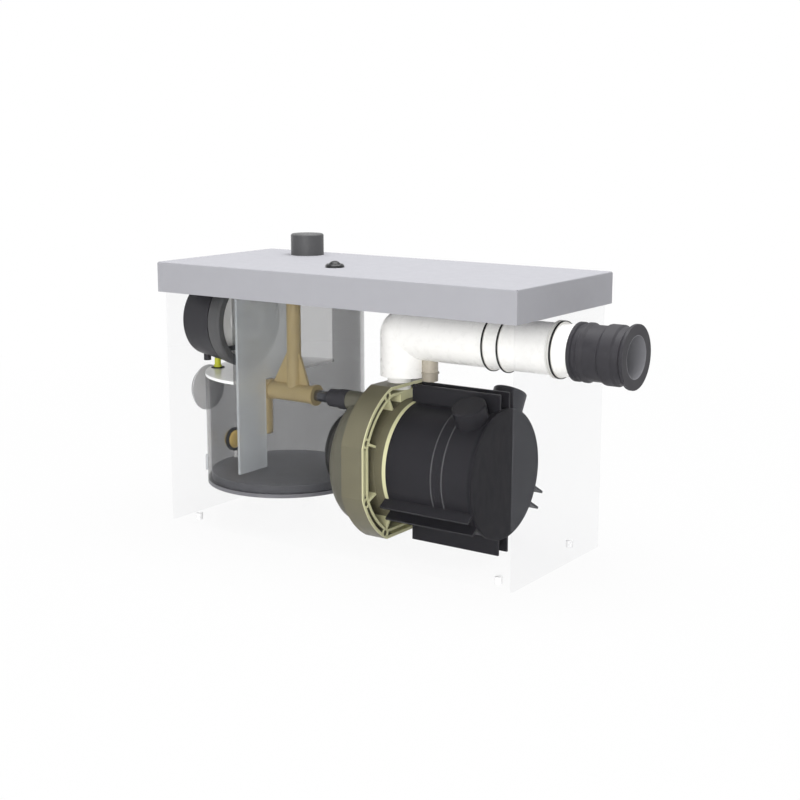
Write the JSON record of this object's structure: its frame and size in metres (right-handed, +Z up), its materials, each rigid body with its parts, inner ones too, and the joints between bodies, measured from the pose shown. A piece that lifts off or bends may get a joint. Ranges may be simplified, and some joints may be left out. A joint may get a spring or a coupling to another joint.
{
  "type": "macerator toilet pump",
  "caption": "Toilet macerator pump: clear tank with a lift-off lid, smoked grinding chamber, horizontal motor and pump, and a side discharge with a rubber coupling.",
  "frame": {"origin": "centre of the tank's underside", "axes": "+X along the tank towards the discharge, +Y towards the back, +Z up"},
  "size_m": [0.5062, 0.1902, 0.303],
  "materials": {
    "clear_plastic": "clear moulded plastic, glossy",
    "lid_grey": "light grey moulded plastic, satin",
    "dark_plastic": "dark grey moulded plastic, satin",
    "black_plastic": "black moulded plastic",
    "rubber": "black rubber, matt",
    "carbon": "activated carbon pad",
    "smoke_plastic": "smoked translucent plastic, glossy",
    "baffle_plastic": "bluish translucent plastic, polished",
    "white_plastic": "white moulded plastic",
    "white_pipe": "white pipe plastic, smooth",
    "tan_plastic": "tan moulded plastic, satin",
    "nipple_green": "yellow green plastic",
    "olive_casting": "olive glass-filled plastic moulding",
    "motor_black": "near black moulded motor casing",
    "steel": "stainless steel, turned",
    "laminations": "stacked laminations with copper windings",
    "brass": "turned brass"
  },
  "bodies": {
    "unit": {"tank_floor": "clear_plastic", "tank_sides": "clear_plastic", "tank_ends": "clear_plastic", "tank_supports": "clear_plastic", "floor_inserts": "brass", "lid_seal": "rubber", "chamber_tube": "smoke_plastic", "chamber_base": "dark_plastic", "base_clips": "clear_plastic", "cover_plate": "white_plastic", "splash_baffle": "baffle_plastic", "switch_housing": "dark_plastic", "switch_rim": "dark_plastic", "switch_contacts": "black_plastic", "pressure_nipple": "nipple_green", "nipple_grommet": "rubber", "side_inlet_cap": "lid_grey", "side_inlet_seal": "rubber", "port_bush": "tan_plastic", "port_grommet": "rubber", "drain_pin": "white_plastic", "manifold": "tan_plastic", "steel_tube": "steel", "rubber_sleeve": "rubber", "grinder_housing": "dark_plastic", "cutter_ring": "steel", "pump_housing": "olive_casting", "pump_flange": "olive_casting", "housing_gasket": "rubber", "flange_screws": "steel", "motor_shell": "motor_black", "motor_end_cap": "motor_black", "stator": "laminations", "front_bearing": "steel", "rear_bearing": "steel", "shaft_seal": "rubber", "discharge_elbow": "white_pipe", "outlet_pipe": "white_pipe", "pipe_rings": "rubber", "stub_cap": "white_pipe", "wall_grommet": "rubber", "discharge_coupling": "rubber", "valve_seat": "white_plastic", "flap_pin": "steel", "cable_gland": "black_plastic"},
    "lid": {"lid": "lid_grey", "vent_cap": "dark_plastic", "vent_filter": "carbon", "button_bezel": "black_plastic", "button_socket": "dark_plastic", "button_spring": "steel"},
    "button": {"push_button": "black_plastic"},
    "rotor": {"motor_shaft": "steel", "motor_rotor": "laminations", "impeller": "black_plastic", "cutter_blade": "steel", "cutter_nut": "steel"},
    "flap": {"check_flap": "rubber"},
    "diaphragm": {"switch_diaphragm": "white_plastic"}
  },
  "joints": [
    {"name": "lid_lift", "type": "slide", "parent": "unit", "child": "lid", "axis": [0, 0, 1], "range_m": [0, 0.15]},
    {"name": "button_press", "type": "slide", "parent": "lid", "child": "button", "axis": [0, 0, -1], "range_m": [0, 0.0025], "stiffness_N_per_m": 200, "springref_m": -0.002, "deforming": ["button_spring"]},
    {"name": "rotor_spin", "type": "hinge", "parent": "unit", "child": "rotor", "pos_m": [0, 0, 0.085], "axis": [1, 0, 0], "continuous": true},
    {"name": "flap_swing", "type": "hinge", "parent": "unit", "child": "flap", "pos_m": [0.1566, 0, 0.2323], "axis": [0, -1, 0], "range_deg": [0, 60]},
    {"name": "diaphragm_travel", "type": "slide", "parent": "unit", "child": "diaphragm", "axis": [1, 0, 0], "range_m": [0, 0.0015], "stiffness_N_per_m": 400}
  ]
}
